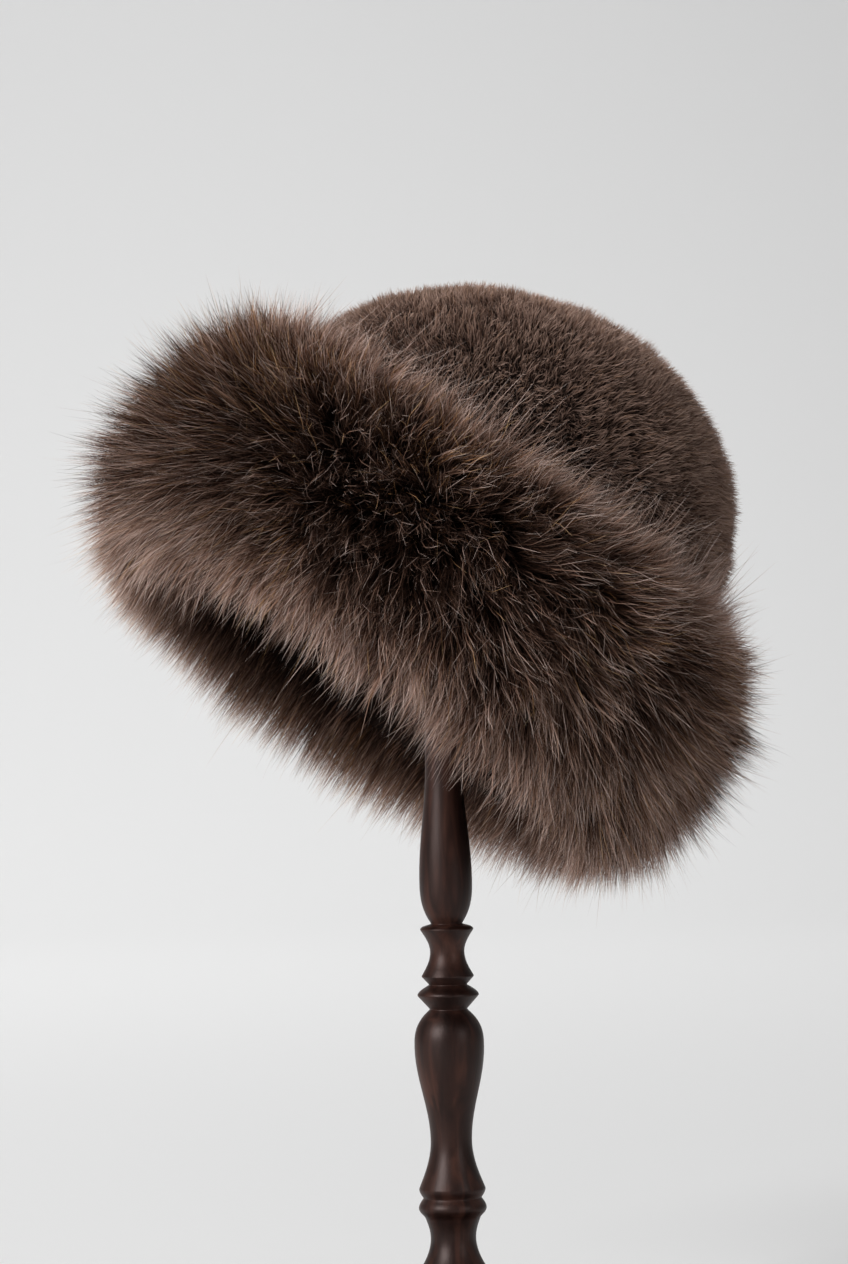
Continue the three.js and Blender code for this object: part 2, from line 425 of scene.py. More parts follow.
    # one blade, a strip of quads that ends in a triangle
    values = {"Size X": 1.0, "Size Y": 1.0, "Vertices X": 2, "Vertices Y": segments + 1}
    strip = addNode(tree, "GeometryNodeMeshGrid", values).outputs["Mesh"]
    place = split(tree, tree.nodes.new("GeometryNodeInputPosition").outputs[0])
    beforeTip = maths(tree, "LESS_THAN", place["Y"], furPattern["tip"])
    values = {"X": times(place["X"], beforeTip), "Y": place["Y"]}
    pinched = addNode(tree, "ShaderNodeCombineXYZ", values).outputs[0]
    blade = addNode(tree, "GeometryNodeSetPosition", {"Geometry": strip, "Position": pinched}).outputs[0]
    values = {"Geometry": blade, "Distance": furPattern["merge"]}
    blade = addNode(tree, "GeometryNodeMergeByDistance", values).outputs[0]
    blade = stored(blade, "along", maths(tree, "ADD", place["Y"], 0.5))
    blade = stored(blade, "side", place["X"])
    values = {"Points": saved["Geometry"], "Instance": blade}
    planted = addNode(tree, "GeometryNodeInstanceOnPoints", values).outputs[0]
    hairs = addNode(tree, "GeometryNodeRealizeInstances", {"Geometry": planted}).outputs[0]

    # bend each blade along its own line
    t = attribute("along")
    toTip = maths(tree, "SUBTRACT", 1.0, t)
    bow = times(t, toTip, 4.0)   # 1 halfway
    swing = maths(tree, "SINE", times(t, 2 * math.pi))
    taper = maths(tree, "POWER", toTip, furPattern["taper"])
    line = total(
        saved["root"],
        scaled(saved["span"], t),
        scaled(saved["shift"], t, t),
        scaled(saved["curl"], bow),
        scaled(saved["wave"], swing),
        scaled(saved["broadSide"], attribute("side"), saved["width"], taper))
    bent = addNode(tree, "GeometryNodeSetPosition", {"Geometry": hairs, "Position": line}).outputs[0]
    for key in ("tone", "golden"):
        bent = stored(bent, key, saved[key])
    painted = addNode(tree, "GeometryNodeSetMaterial", {"Geometry": bent, "Material": given["Material"]})
    tree.links.new(painted.outputs[0], tree.nodes.new("NodeGroupOutput").inputs[0])
    return tree


def growFur(name, pelt, tree, hairs, material, values):
    # hairs is how many grow on the whole pelt
    area = 0.0
    thick = pelt.data.attributes["thick"].data
    for face in pelt.data.polygons:
        area += face.area * sum(thick[v].value for v in face.vertices) / len(face.vertices)
    grown = placed(name, pelt.data.copy())
    modifier = grown.modifiers.new("fur", "NODES")
    modifier.node_group = tree
    given = {**furInputs, **values, "Density": hairs / area, "Material": material}
    for socket in tree.interface.items_tree:
        if socket.in_out == "INPUT" and socket.name in given:
            modifier[socket.identifier] = given[socket.name]
    mesh = bpy.data.meshes.new_from_object(grown.evaluated_get(bpy.context.evaluated_depsgraph_get()))
    grown.modifiers.clear()
    grown.data = mesh
    mesh.name = name

    # the bake map: a column for each shade, from root to tip
    corners = np.zeros(len(mesh.loops), np.int32)
    mesh.loops.foreach_get("vertex_index", corners)
    read = {}
    for key in ("along", "side", "tone", "golden"):
        read[key] = np.zeros(len(mesh.vertices), np.float32)
        mesh.attributes[key].data.foreach_get("value", read[key])
    column = (read["golden"] + read["tone"] + (0.5 + bakeMap["wide"] * read["side"]) / toneSteps) / 2
    row = bakeMap["margin"] + (1 - 2 * bakeMap["margin"]) * read["along"]
    places = np.stack([column[corners], row[corners]], axis=-1)
    mesh.uv_layers.new(name="OFBake").data.foreach_set("uv", places.astype(np.float32).ravel())
    mesh.attributes.remove(mesh.attributes["side"])
    mesh.shade_smooth()
    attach(grown, "root")
    tellTriangles(name, mesh)
    return grown


# Colours from root to tip of the darkest and the palest hair. The very palest go over to silver, and golden
# tints some of all of them
crownHair = {
    "dark": [
        (0, (0.062, 0.0370, 0.0280)),
        (0.5, (0.118, 0.073, 0.056)),
        (1, (0.212, 0.136, 0.106)),
    ],
    "pale": [
        (0, (0.060, 0.0360, 0.0270)),
        (0.5, (0.205, 0.131, 0.101)),
        (1, (0.465, 0.330, 0.268)),
    ],
    "golden": (1.0, 0.90, 0.76),
}
brimHair = {
    "dark": [
        (0, (0.0026, 0.0013, 0.0009)),
        (0.5, (0.0075, 0.0036, 0.0024)),
        (0.8, (0.025, 0.0115, 0.0073)),
        (1, (0.084, 0.0420, 0.0275)),
    ],
    "pale": [
        (0, (0.0100, 0.0050, 0.0034)),
        (0.4, (0.090, 0.0460, 0.0320)),
        (0.7, (0.334, 0.184, 0.127)),
        (1, (0.724, 0.526, 0.432)),
    ],
    "silver": [
        (0, (0.0100, 0.0056, 0.0044)),
        (0.4, (0.090, 0.0540, 0.0430)),
        (0.7, (0.345, 0.238, 0.198)),
        (1, (0.860, 0.735, 0.680)),
    ],
    "silverTones": (0.88, 1.0),
    "golden": (1.0, 0.83, 0.50),
}
hairGloss = {"Roughness": 0.6, "Specular IOR Level": 0.07}
# The hide is painted near black: partly its own dark colour, partly painted shade inside the hat and under
# the fur
hide = {
    "dark": (0.3, (0.006, 0.0036, 0.0027)),
    "pale": (0.7, (0.014, 0.0087, 0.0066)),
    "mottle": (45.0, 4.0),   # scale and detail
    "grain": (900.0, 3.0),
    "bump": {"Strength": 0.5, "Distance": 0.0006},
    "gloss": {"Roughness": 0.92, "Specular IOR Level": 0.08},
}


def furMaterial(name, hair):
    material, tree, shader = newMaterial(name)
    along, tone, golden = (addNode(tree, "ShaderNodeAttribute", attribute_name=key).outputs["Fac"]
                           for key in ("along", "tone", "golden"))
    colour = blended(tree, tone, ramp(tree, along, *hair["dark"]), ramp(tree, along, *hair["pale"]))
    if "silver" in hair:
        low, high = hair["silverTones"]
        palest = addNode(tree, "ShaderNodeMapRange", {0: tone, 1: low, 2: high}).outputs[0]
        colour = blended(tree, palest, colour, ramp(tree, along, *hair["silver"]))
    colour = blended(tree, golden, colour, (*hair["golden"], 1), "MULTIPLY")
    setInputs(tree, shader, {"Base Color": colour, **hairGloss})
    return material


def hideMaterial():
    # the skin side and the felted roots: a matt, faintly mottled hide, near black partly as its own colour
    # and partly as painted shade inside the hat and under the fur
    material, tree, shader = newMaterial("hide")
    where = addNode(tree, "ShaderNodeTexCoord").outputs["Object"]
    mottle = noise(tree, where, *hide["mottle"])[0]
    grain = noise(tree, where, *hide["grain"])[0]
    bump = addNode(tree, "ShaderNodeBump", {**hide["bump"], "Height": grain}).outputs[0]
    colour = ramp(tree, mottle, hide["dark"], hide["pale"])
    setInputs(tree, shader, {"Base Color": colour, "Normal": bump, **hide["gloss"]})
    return material


crownFur = furMaterial("crown_fur", crownHair)
brimFur = furMaterial("brim_fur", brimHair)
peltHide = hideMaterial()
longBlades = furTree("long_hair", 3)
pileBlades = furTree("pile", 2)

# The crown: a hide with short dense pile on its outside
crown = {
    "pile": 7.0,
    "around": 96,
    "dome": 26,
    "edge": 5.0,             # the hide's thickness at the rim
    "edgeHeight": -48.0,
    "skinPole": 0.004,       # radians, how near the rings come to the top
    "pilePole": 0.002,
    "pileFrom": 28.0,        # height where the pile comes out of the brim
    "halves": {              # start and end in degrees round the hat, and seed
        "crown_pile_back": (0, 180, 11),
        "crown_pile_front": (180, 360, 12),
    },
    "hairs": 43500,          # on each half
    "shade": 0.62,
    # Painted light and shade: the dome's lower part is painted much darker round the front, from about 250
    # to 300 degrees, and a little paler at the front right, standing in for how the light falls on it
    "shades": {              # of the dome's lower part, by degrees round the hat
        0: 0.64,
        225: 0.64,
        248: 0.56,
        268: 0.10,
        290: 0.20,
        305: 0.52,
        322: 0.70,
        345: 0.68,
        360: 0.64,
    },
    "lower": (45.0, 62.0),   # degrees up the dome, where that part ends
    "golden": 0.25,
}
crownPile = {
    "Length Share": 1.06,
    "Length Spread": 0.36,
    "Width": 0.00060,
    "Lock Size": 0.010,
    "Lock Pull": 0.05,
    "Tuft Size": 0.0038,
    "Tuft Pull": 0.16,
    "Tuft Lean": 0.0012,
    "Tuft Length": 0.06,
    "Wave": 0.0002,
    "Drift": 0.0016,
    "Stray": 0.0019,
    "Curl": 0.0005,
    "Droop": 0.12,
    "Tone Spread": 0.21,
    "Tuft Tone": 0.18,
}


def crownSkin():
    # both sides of the hide, joined at the top of each and at the rim
    angles = fullTurn(crown["around"])
    turn = np.linspace(math.pi / 2 - crown["skinPole"], 0, crown["dome"])
    wall = np.linspace(0, 1, crown["dome"] // 2)[1:]

    def profile(radius, dome, rim):
        radii = np.concatenate([radius * np.cos(turn), radius + (rim - radius) * wall])
        heights = np.concatenate([hat["crownWidest"] + dome * np.sin(turn),
                                  hat["crownWidest"] + (crown["edgeHeight"] - hat["crownWidest"]) * wall])
        return radii, heights

    pile = crown["pile"]
    outside = profile(hat["crownRadius"] - pile, hat["crownDome"] - pile, hat["insideRim"] + crown["edge"])
    inside = profile(hat["insideRadius"], hat["insideDome"], hat["insideRim"])
    radius = np.concatenate([outside[0], inside[0][::-1]])
    height = np.concatenate([outside[1], inside[1][::-1]])
    points = roundHat(np.tile(radius, (len(angles), 1)), np.tile(height, (len(angles), 1)), angles)
    made = ringSkin("crown_skin", points, poles=True)
    made.data.flip_normals()
    return made


def peltBetween(name, angles, root, form, pale, thick, golden, combed=0.0, stretch=1.0):
    # root and form are radii and heights. "reach" goes from each root to the form, times "stretch"
    rootPoints = roundHat(*root, angles)
    longer = np.broadcast_to(stretch, pale.shape)[..., None]
    reach = (roundHat(*form, angles + combed) - rootPoints) * longer
    attributes = {"reach": reach, "pale": pale, "thick": thick, "golden": golden}
    return ringSkin(name, rootPoints, attributes=attributes)


def crownPelt(start, end):
    angles = fullTurn(crown["around"])
    pile = crown["pile"]
    lowest = math.asin((crown["pileFrom"] - hat["crownWidest"]) / hat["crownDome"])
    turn = np.linspace(math.pi / 2 - crown["pilePole"], lowest, crown["dome"])
    turn = np.tile(turn, (len(angles), 1))
    across = np.cos(np.maximum(turn, 0))
    root = ((hat["crownRadius"] - pile) * across,
            hat["crownWidest"] + (hat["crownDome"] - pile) * np.sin(turn))
    form = (hat["crownRadius"] * across, hat["crownWidest"] + hat["crownDome"] * np.sin(turn))
    there = (np.degrees(angles) >= start) & (np.degrees(angles) < end)
    thick = np.where(there[:, None], 1.0, 0.0) * np.ones(turn.shape)
    # the lower part of the dome takes the painted shade of the crown's shades table, which fades out
    # further up
    low = np.interp(np.degrees(turn), crown["lower"], (1, 0))
    shade = crown["shade"] + (roundHatTable(angles, crown["shades"]) - crown["shade"]) * low
    golden = np.full(turn.shape, crown["golden"])
    return peltBetween("crown_pelt", angles, root, form, shade, thick, golden)


def buildCrown():
    skin = crownSkin()
    skin.data.materials.append(peltHide)
    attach(skin, "root")
    pieces = [skin]
    for name, (start, end, seed) in crown["halves"].items():
        pelt = crownPelt(start, end)
        values = {**crownPile, "Seed": seed}
        pieces.append(growFur(name, pelt, pileBlades, crown["hairs"], crownFur, values))
        remove(pelt)
    for piece in pieces:
        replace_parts(piece, "crown")
    print("crown done")


buildCrown()

# The brim: a slim roll of pelt round the crown, which the deep fur stands out from
brim = {
    "around": 120,
    "steps": 44,
    "coreRadius": 116.0,     # the roll's middle, from the hat's axis
    "coreHeight": 10.0,
    "coreOut": 12.0,         # half widths of its section, outwards and inwards
    "coreIn": 10.0,
    "coreHalfHeight": 41.0,
    "crest": 116.0,          # radius of the fur's form at its top and at its underside
    "depth": 49.0,           # how far its widest ring stands past that
    "widest": 2.0,           # height of the widest ring
    "above": 69.0,
    "below": 76.0,
    "fringeTurn": 118.0,     # degrees round the core, where the fur that lies on the crown stops
    "fringeHeight": 80.0,
    "fringeClear": 4.0,
    "lipTurn": -170.0,       # and where the fur that wraps under the rim stops
    "lipRadius": 94.0,
    "lipHeight": -61.0,
    "lipFrom": -125.0,
    "lipRootRadius": 96.0,
    "lipRootHeight": -38.0,
    "combed": 2.4,           # degrees that the fur lies round the hat by
    "crowding": (0.5, 4.0),  # fewest and most hairs, as shares, where the form narrows or fans out
    "fullness": {            # right, back, left and front, as on the CAD node
        "above": (1.0, 1.0, 1.05, 0.99),
        "below": (0.95, 1.15, 1.04, 0.88),
        "depth": (0.99, 1.0, 1.01, 1.0),
    },
    # Painted shade: near black on the underside and under the rim, and dark in a band round the outside,
    # standing in for the shade deep in the fur there
    "shades": {              # of the hair round the section, by degrees from the outside
        -160: 0.02,
        -110: 0.28,
        -85: 0.74,
        -58: 0.61,
        -30: 0.19,
        -5: -0.03,
        25: -0.04,
        45: 0.14,
        66: 0.43,
        80: 0.56,
        118: 0.56,
    },
    "goldenUp": {            # how many hairs are golden, round the section and round the hat
        -160: 0.0,
        -60: 0.4,
        -10: 0.5,
        40: 1.0,
        60: 0.55,
        80: 0.08,
        118: 0.0,
    },
    "goldenRound": {
        0: 0.0,
        140: 0.2,
        200: 0.75,
        250: 0.85,
        280: 0.15,
        305: 0.35,
        335: 0.40,
        360: 0.0,
    },
    # Painted light and shade: darker at the left edge, from about 140 to 190 degrees, which the key lamp
    # lights most, and paler from the front right round to the right, from about 300 to 50 degrees, where
    # less light falls
    "paler": {               # added to the shades, round the hat
        0: 0.22,
        50: 0.0,
        140: -0.04,
        165: -0.14,
        184: -0.14,
        203: 0.12,
        218: 0.10,
        240: 0.0,
        280: -0.06,
        305: 0.22,
        335: 0.32,
        360: 0.22,
    },
    "under": (-60.0, -30.0),  # degrees, where the next tables start to count
    "far": {                 # how much of the underside is far side, in shadow and of one brown
        30: 0.0,
        70: 1.0,
        150: 1.0,
        185: 0.0,
    },
    # Painted shade: near black at the lip under the rim, brown only at the far rim's outside
    "farShades": {           # of the far side's hair, by degrees from the outside
        -170: 0.0,
        -135: 0.09,
        -112: 0.64,
        -60: 0.74,
    },
    "farGolden": 0.45,
    # Painted light and shade on the underside: darker at the left, from about 165 to 190 degrees, where the
    # key lamp lights it, and at the front right, from about 300 to 0 degrees, and paler at the front left
    "lower": {               # added to the shades of the underside, round the hat
        0: -0.12,
        40: 0.0,
        165: -0.14,
        188: -0.16,
        203: 0.0,
        220: 0.11,
        250: 0.08,
        275: 0.0,
        300: -0.24,
        340: -0.33,
        360: -0.12,
    },
    "over": (58.0, 84.0),    # and the same for the top side
    # Painted shade on the top side: darker from the back round to the front left, from about 110 to 250
    # degrees, where the lamps light the fringe most
    "upper": {               # added to its shades
        0: 0.0,
        110: -0.20,
        165: -0.34,
        210: -0.32,
        228: -0.20,
        248: -0.08,
        285: -0.03,
        330: 0.02,
        360: 0.0,
    },
    "fuller": {              # how much longer the outer fur is than on the CAD node
        160: 1.0,
        180: 1.22,
        205: 1.20,
        225: 1.0,
    },
    "near": {                # how long the fur of the underside is
        165: 1.0,
        200: 0.87,
        240: 0.86,
        262: 0.95,
        300: 1.0,
    },
}


def fullnessAt(angles, column):
    rows = np.array(brim["fullness"][column])
    turn = (angles / (math.pi / 2)) % 4
    here = np.floor(turn).astype(int) % 4
    between = (1 - np.cos(math.pi * (turn - np.floor(turn)))) / 2
    return (rows[here] + (rows[(here + 1) % 4] - rows[here]) * between)[:, None]


def brimSection(angles, turn, lip=False):
    # turn goes round the section: 0 outside, pi/2 the top, -pi/2 the underside.
    # "lip" roots the last of it in the rim
    above, below, depth = (fullnessAt(angles, key) for key in ("above", "below", "depth"))
    turn = np.tile(turn, (len(angles), 1))
    sine, cosine = np.sin(turn), np.cos(turn)
    half = np.where(cosine > 0, brim["coreOut"], brim["coreIn"])
    rootRadius = brim["coreRadius"] + half * cosine
    rootHeight = brim["coreHeight"] + brim["coreHalfHeight"] * sine
    if lip:
        lipLength = math.radians(brim["lipFrom"] - brim["lipTurn"])
        share = np.clip((math.radians(brim["lipFrom"]) - turn) / lipLength, 0, 1)
        rootRadius = rootRadius + (brim["lipRootRadius"] - rootRadius) * share
        rootHeight = rootHeight + (brim["lipRootHeight"] - rootHeight) * share
    reach = np.where(sine > 0, brim["above"] * above, brim["below"] * below)
    radius = brim["crest"] + brim["depth"] * depth * np.clip(cosine, 0, 1)
    height = brim["widest"] + reach * sine

    # past its top the fur lies up the crown, and past its underside it wraps under the rim
    rise = (brim["fringeHeight"] - hat["crownWidest"]) / hat["crownDome"]
    onCrown = hat["crownRadius"] * math.sqrt(1 - rise**2) + brim["fringeClear"]
    top = brim["widest"] + brim["above"] * above
    share = np.clip((turn - math.pi / 2) / (math.radians(brim["fringeTurn"]) - math.pi / 2), 0, 1)
    radius = np.where(share > 0, brim["crest"] + (onCrown - brim["crest"]) * share, radius)
    height = np.where(share > 0, top + (brim["fringeHeight"] - top) * share, height)
    bottom = brim["widest"] - brim["below"] * below
    share = np.clip((-turn - math.pi / 2) / (-math.radians(brim["lipTurn"]) - math.pi / 2), 0, 1)
    radius = np.where(share > 0, brim["crest"] + (brim["lipRadius"] - brim["crest"]) * share, radius)
    height = np.where(share > 0, bottom + (brim["lipHeight"] - bottom) * share**2, height)
    return (rootRadius, rootHeight), (radius, height)


def brimCore():
    angles = fullTurn(brim["around"])
    turn = np.linspace(-math.pi, math.pi, brim["steps"], endpoint=False)
    root, _ = brimSection(angles, turn)
    return ringSkin("brim_pelt", roundHat(*root, angles), closedSection=True)


def brimPelt(layer):
    # the side of the core that grows a layer of hair
    angles = fullTurn(brim["around"])
    turn = np.linspace(math.radians(brim["lipTurn"]), math.radians(brim["fringeTurn"]), brim["steps"])
    root, form = brimSection(angles, turn, lip=True)
    degrees = np.degrees(np.tile(turn, (len(angles), 1)))
    under = np.interp(degrees, brim["under"], (1, 0))
    over = np.interp(degrees, brim["over"], (0, 1))
    paler, lower, upper, far, near, fuller = (
        roundHatTable(angles, brim[key]) for key in ("paler", "lower", "upper", "far", "near", "fuller"))
    far = under * far

    # the shades of the hair, with the painted light and shade of the tables round the hat added, and the
    # far side's painted shade over them
    pale = fromTable(degrees, brim["shades"]) + paler * (1 - under) + lower * under + upper * over
    pale = pale + (fromTable(degrees, brim["farShades"]) - pale) * far
    golden = fromTable(degrees, brim["goldenUp"]) * roundHatTable(angles, brim["goldenRound"])
    golden = golden + (brim["farGolden"] - golden) * far

    onForm = np.hypot(np.gradient(form[0], axis=1), np.gradient(form[1], axis=1)) * form[0]
    onCore = np.hypot(np.gradient(root[0], axis=1), np.gradient(root[1], axis=1)) * root[0]
    thick = np.clip(onForm / onCore, *brim["crowding"])
    if "strength" in layer:
        thick = thick * fromTable(degrees, layer["strength"])
    thick = thick * (1 + (layer.get("farStrength", 1.0) - 1) * far)
    start, end = layer.get("from", 0), layer.get("to", 360)
    there = ((np.degrees(angles) - start) % 360) < end - start
    thick = np.where(there[:, None], thick, 0)

    longer = (1 + (near - 1) * under) * (1 + (layer.get("farStretch", 1.0) - 1) * far)
    longer = longer * (1 + (fuller - 1) * (1 - under) * (1 - over))
    if "stretch" in layer:
        longer = longer * fromTable(degrees, layer["stretch"])
    combed = math.radians(brim["combed"])
    return peltBetween("pelt", angles, root, form, pale, thick, golden, combed, longer)


# The brim's hair, layer by layer. What a layer doesn't name is as in furInputs
brimLayers = {
    "brim_underfur": {
        "hairs": 49000,
        "farStrength": 1.8,
        "farStretch": 1.3,
        "segments": 2,
        "Seed": 21,
        "Length Share": 0.78,
        "Length Spread": 0.35,
        "Tuft Size": 0.009,
        "Tuft Pull": 0.55,
        "Stray": 0.0040,
        "Curl": 0.0022,
        # a darker underfur: partly the fur's own darker underfur, partly painted shade deep in the fur,
        # where it shows between the longer hairs
        "Tone Shift": -0.25,
        "Silver": 0.0,
    },
    "brim_fur_front": {
        "hairs": 39500,
        "from": 180,
        "to": 360,
        "Seed": 31,
        "Length Share": 1.04,
        "Tone Spread": 0.95,
        "Tone Shift": -0.06,
        "Silver": 0.09,
        "Silver Tone": 0.95,
    },
    "brim_fur_back": {
        "hairs": 38000,
        "from": 0,
        "to": 180,
        "Seed": 32,
        "farStrength": 1.7,
        "Length Share": 1.0,
        "Length Spread": 0.18,
        "Lock Pull": 0.12,
        "Tuft Lean": 0.0024,
        "Tuft Pull": 0.5,
        "Tuft Length": 0.08,
        "Drift": 0.0016,
        "Stray": 0.0020,
        "Droop": 0.10,
        "Silver": 0.08,
    },
    "brim_guard_hairs": {
        "hairs": 25000,
        "farStrength": 0.25,
        "strength": {-160: 0.4, -110: 0.8, -80: 1.5, -40: 1.0, 60: 1.2, 90: 3.0, 118: 2.8},
        "stretch": {-160: 0.9, -90: 1.05, 0: 1.0, 65: 1.0, 90: 1.2, 118: 1.35},
        "Seed": 41,
        "Length Share": 1.07,
        "Length Spread": 0.42,
        "Width": 0.00037,
        "Tuft Size": 0.012,
        "Tuft Pull": 0.20,
        "Stray": 0.0100,
        "Curl": 0.0034,
        "Tone Spread": 1.15,
        "Tone Shift": 0.24,
        "Silver": 0.36,
        "Silver Tone": 1.25,
    },
}


def buildBrim():
    core = brimCore()
    core.data.materials.append(peltHide)
    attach(core, "root")
    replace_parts(core, "brim")
    for name, layer in brimLayers.items():
        pelt = brimPelt(layer)
        values = {key: value for key, value in layer.items() if key in furInputs}
        blades = pileBlades if layer.get("segments") == 2 else longBlades
        piece = growFur(name, pelt, blades, layer["hairs"], brimFur, values)
        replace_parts(piece, "brim")
        remove(pelt)
    print("brim done")


buildBrim()

# The turned stand. The spindle's outline goes from row to row: height, radius and how it gets there
stand = {
    "sides": 64,
    "step": 0.3,
    "fewestSteps": 4,        # in a row of the spindle
    "tolerance": 0.025,
    "soften": 0.7,           # rounding of the edges, in millimetres
    "shoulder": 2.7,
    "spindle": [
        (24.4, 24.0, "line"),
        (27.5, 25.2, "settle"),
        (31.0, 21.5, "leave"),
        (32.0, 18.0, "line"),
        (50.4, 10.2, "settle"),
        (60.0, 12.6, "leave"),
        (63.9, 15.3, "settle"),
        (68.4, 13.0, "leave"),
        (72.6, 15.0, "settle"),
        (94.1, 9.3, "settle"),
        (136.8, 15.7, "ease"),
        (153.3, 8.3, "round_off"),
        (159.5, 13.9, "line"),
        (164.3, 8.4, "leave"),
        (168.1, 11.9, "line"),
        (179.1, 7.7, "settle"),
        (189.2, 12.1, "leave"),
        (190.6, 10.8, "leave"),
        (191.7, 6.9, "line"),
        (211.0, 11.9, "round_out"),
        (265.5, 8.1, "ease"),
        (300.0, 7.5, "ease"),
        (435.6, 7.5, "line"),
    ],
    "base": {
        "radius": 92.0,
        "edge": 7.0,
        "rounding": 4.0,
        "height": 24.0,
        "seat": 30.0,
        "edgeSteps": 20,
        "slopeSteps": 40,
    },
    "head": {
        "radius": 34.0,
        "top": 466.4,
        "dome": 16.0,
        "side": 8.0,
        "rounding": 4.0,
        "collar": 4.0,
        "flare": 3.0,
        "flareRadius": 19.0,
        "neck": 12.0,
        "foot": 436.0,
        "sideArc": (-90, 60, 16),    # degrees from and to, and steps
        "domeArc": (10, 89.9, 24),
    },
}
turnings = {
    "line": lambda s: s,
    "ease": lambda s: (1 - np.cos(math.pi * s)) / 2,
    "settle": lambda s: np.sin(math.pi / 2 * s),
    "leave": lambda s: 1 - np.cos(math.pi / 2 * s),
    "round_out": lambda s: 1 - (1 - s) ** stand["shoulder"],
    "round_off": lambda s: s ** stand["shoulder"],
}


def spindleOutline():
    rows = stand["spindle"]
    outline = [(0.0, rows[0][0]), (rows[0][1], rows[0][0])]
    for (fromZ, fromRadius, _), (toZ, toRadius, form) in zip(rows, rows[1:]):
        steps = max(stand["fewestSteps"], round((toZ - fromZ) / stand["step"]))
        for s in np.arange(1, steps + 1) / steps:
            radius = fromRadius + (toRadius - fromRadius) * turnings[form](s)
            outline.append((radius, fromZ + (toZ - fromZ) * s))
    outline.append((0.0, rows[-1][0]))
    return outline


def arc(radius, height, halfWidth, halfHeight, start, end, steps):
    angles = np.radians(np.linspace(start, end, steps))
    return [(radius + halfWidth * math.cos(a), height + halfHeight * math.sin(a)) for a in angles]


def baseOutline():
    base = stand["base"]
    flat = base["radius"] - base["rounding"]
    rise = base["height"] - base["edge"]
    slope = [(flat + (base["seat"] - flat) * s, base["edge"] + rise * turnings["ease"](s))
             for s in np.linspace(0, 1, base["slopeSteps"])[1:]]
    edge = arc(flat, base["edge"] / 2, base["rounding"], base["edge"] / 2, -90, 90, base["edgeSteps"])
    return [(0.0, 0.0), *edge, *slope, (0.0, base["height"])]


def headOutline():
    head = stand["head"]
    shoulder = head["top"] - head["dome"]
    under = shoulder - head["side"]
    inner = head["radius"] - head["rounding"]
    return [
        (0.0, head["foot"]),
        (head["neck"], head["foot"]),
        (head["neck"], head["foot"] + head["collar"]),
        (head["flareRadius"], under - head["flare"]),
        *arc(inner, under + head["side"] / 2, head["rounding"], head["side"] / 2, *head["sideArc"]),
        *arc(0.0, shoulder, head["radius"] - head["rounding"] / 2, head["dome"], *head["domeArc"]),
        (0.0, head["top"]),
    ]


def softened(outline):
    # the outline at even steps, with its corners eased between its two ends
    outline = np.array(outline)
    gone = np.concatenate([[0], np.cumsum(np.hypot(*np.diff(outline, axis=0).T))])
    even = np.linspace(0, gone[-1], int(gone[-1] / stand["step"]))
    points = np.stack([np.interp(even, gone, outline[:, k]) for k in (0, 1)], axis=1)
    reach = max(1, round(stand["soften"] / stand["step"]))
    weights = np.hanning(2 * reach + 3)[1:-1]
    smooth = points.copy()
    for k in (0, 1):
        smooth[reach:-reach, k] = np.convolve(points[:, k], weights / weights.sum(), mode="valid")
    smooth[0, 0] = smooth[-1, 0] = 0.0
    return smooth


def thinned(points, tolerance):
    # drops the points that lie on the line between their neighbours
    kept = [0]
    for i in range(1, len(points) - 1):
        start = points[kept[-1]]
        chord = points[i + 1] - start
        between = points[kept[-1] + 1:i + 1] - start
        away = np.abs(chord[0] * between[:, 1] - chord[1] * between[:, 0]) / np.hypot(*chord)
        if away.max() > tolerance:
            kept.append(i)
    return points[kept + [len(points) - 1]]


def turnedPiece(name, outline, material):
    # a body of revolution whose two ends close on the axis
    profile = thinned(softened(outline), stand["tolerance"])[1:-1]
    angles = fullTurn(stand["sides"])
    rings = np.stack([np.outer(np.cos(angles), profile[:, 0]), np.outer(np.sin(angles), profile[:, 0]),
                      np.tile(profile[:, 1], (len(angles), 1))], axis=-1) * mm
    made = ringSkin(name, rings, poles=True)
    made.data.materials.append(material)
    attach(made, "root")
    tellTriangles(name, made.data)
    return made


# The wood: stretch along the post, scale, detail and distortion of each pattern, and where its colours lie
wood = {
    "streaks": (0.13, 150.0, 5.0, 1.0),
    "patches": (0.4, 48.0, 3.0, 0.6),
    "pores": (0.035, 1300.0, 2.0, 0.0),
    "streakColours": [
        (0.32, (0.0070, 0.0028, 0.0021)),
        (0.50, (0.019, 0.0073, 0.0050)),
        (0.68, (0.046, 0.0175, 0.0112)),
    ],
    "stain": [
        (0.38, (0.45, 0.40, 0.40)),
        (0.62, (1.0, 1.0, 1.0)),
    ],
    "stained": 0.85,
    "satin": {1: 0.3, 2: 0.7, 3: 0.38, 4: 0.52},     # from streaks 0.3 to 0.7 to the roughness
    "bump": {"Strength": 0.25, "Distance": 0.0002},
    "gloss": {
        "Specular IOR Level": 0.26,
        "Specular Tint": (1.0, 0.74, 0.69, 1),
        "Coat Weight": 0.07,
        "Coat Roughness": 0.28,
    },
}


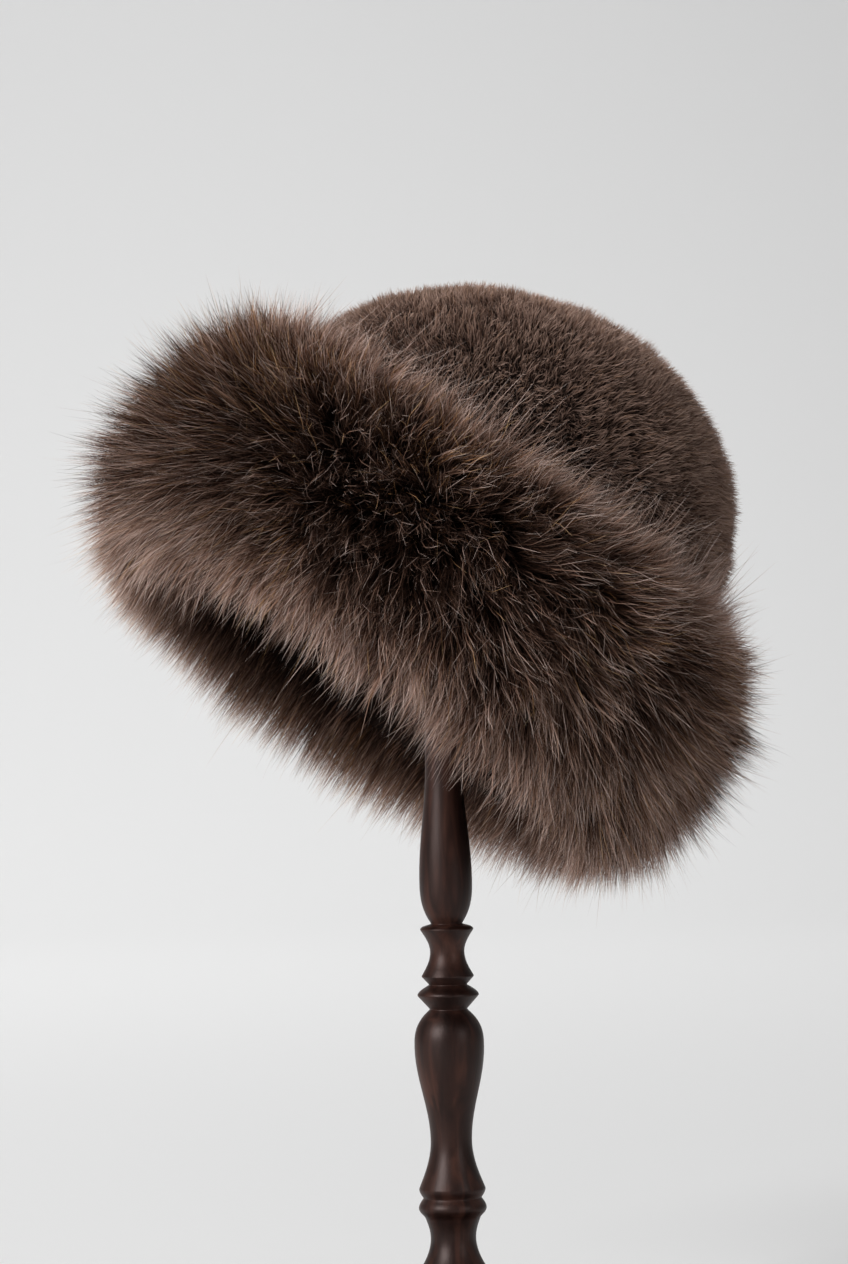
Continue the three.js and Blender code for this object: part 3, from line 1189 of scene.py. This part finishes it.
def woodMaterial():
    # dark stained hardwood under a satin finish, its grain along the turning
    material, tree, shader = newMaterial("dark_wood")
    where = addNode(tree, "ShaderNodeTexCoord").outputs["Object"]

    def grained(stretch, scale, detail, distortion):
        values = {"Vector": where, "Scale": (1.0, 1.0, stretch)}
        along = addNode(tree, "ShaderNodeMapping", values).outputs[0]
        return noise(tree, along, scale, detail, distortion)[0]

    streaks, patches, pores = (grained(*wood[key]) for key in ("streaks", "patches", "pores"))
    ground = ramp(tree, streaks, *wood["streakColours"])
    colour = blended(tree, wood["stained"], ground, ramp(tree, patches, *wood["stain"]), "MULTIPLY")
    satin = addNode(tree, "ShaderNodeMapRange", {0: streaks, **wood["satin"]}).outputs[0]
    bump = addNode(tree, "ShaderNodeBump", {**wood["bump"], "Height": pores}).outputs[0]
    setInputs(tree, shader, {"Base Color": colour, "Roughness": satin, "Normal": bump, **wood["gloss"]})
    return material


def buildStand():
    stained = woodMaterial()
    for name, outline in (("spindle", spindleOutline()), ("base", baseOutline()), ("head", headOutline())):
        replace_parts(turnedPiece("turned_" + name, outline, stained), "stand_" + name)
    print("stand done")


buildStand()

# One pale seamless sweep behind and under the object, in metres
sweep = {
    "halfWidth": 6.0,
    "front": -6.0,
    "bend": 3.4,
    "radius": 3.4,
    "top": 5.5,
    "steps": 24,
    "shade": 0.82,
    "roughness": 0.95,
}


def buildSweep():
    turn = np.linspace(0, math.pi / 2, sweep["steps"])
    back = sweep["bend"] + sweep["radius"]
    y = np.concatenate([[sweep["front"]], sweep["bend"] + sweep["radius"] * np.sin(turn), [back]])
    z = np.concatenate([[0.0], sweep["radius"] * (1 - np.cos(turn)), [sweep["top"]]])
    sides = (-sweep["halfWidth"], sweep["halfWidth"])
    points = np.array([(x, y[i], z[i]) for i in range(len(y)) for x in sides])
    faces = [(2 * i, 2 * i + 1, 2 * i + 3, 2 * i + 2) for i in range(len(y) - 1)]
    made = newObject("backdrop", points, faces)
    made.data.shade_smooth()
    paper, tree, shader = newMaterial("backdrop")
    colour = (sweep["shade"], sweep["shade"], sweep["shade"], 1)
    setInputs(tree, shader, {"Base Color": colour, "Roughness": sweep["roughness"]})
    made.data.materials.append(paper)
    return made


# Lights: name, place, aim, size in metres, power in watts, and spread in degrees
lights = [
    ("key", (-2.1, -2.0, 1.6), (0, 0, 0.4), (1.8, 1.8), 121, 180),
    ("fill", (1.1, -1.1, 0.6), (0, 0, 0.36), (0.7, 0.8), 4.2, 180),
    ("top", (-0.15, 0.15, 0.9), (0, 0, 0.42), (0.4, 0.3), 5.4, 180),
    ("backdrop", (-0.47, 2.51, 3.45), (-1.71, 4.23, 0.32), (2.6, 1.2), 85, 167),
    ("floor", (0.56, 0.87, 1.77), (0.56, 0.88, 0.0), (2.4, 0.8), 3.5, 180),
]
offSweep = ["top"]           # kept off the sweep, so that no pool of light lies under the hat
worldLight = 0.22


def setLight(paper):
    for name, place, aim, size, power, spread in lights:
        lamp = bpy.data.lights.new(name, "AREA")
        lamp.shape = "RECTANGLE"
        lamp.size, lamp.size_y = size
        lamp.energy = power
        lamp.spread = math.radians(spread)
        made = placed(name, lamp)
        made.location = place
        made.rotation_euler = (Vector(aim) - Vector(place)).to_track_quat("-Z", "Y").to_euler()
        if name in offSweep:
            shaded = bpy.data.collections.new("shaded_from_" + name)
            shaded.objects.link(paper)
            shaded.collection_objects[0].light_linking.link_state = "EXCLUDE"
            made.light_linking.receiver_collection = shaded
    world = bpy.data.worlds.new("studio")
    world.use_nodes = True
    background = world.node_tree.nodes["Background"]
    setInputs(world.node_tree, background, {"Color": (1, 1, 1, 1), "Strength": worldLight})
    bpy.context.scene.world = world
    bpy.context.scene.view_settings.view_transform = "Standard"


setLight(buildSweep())
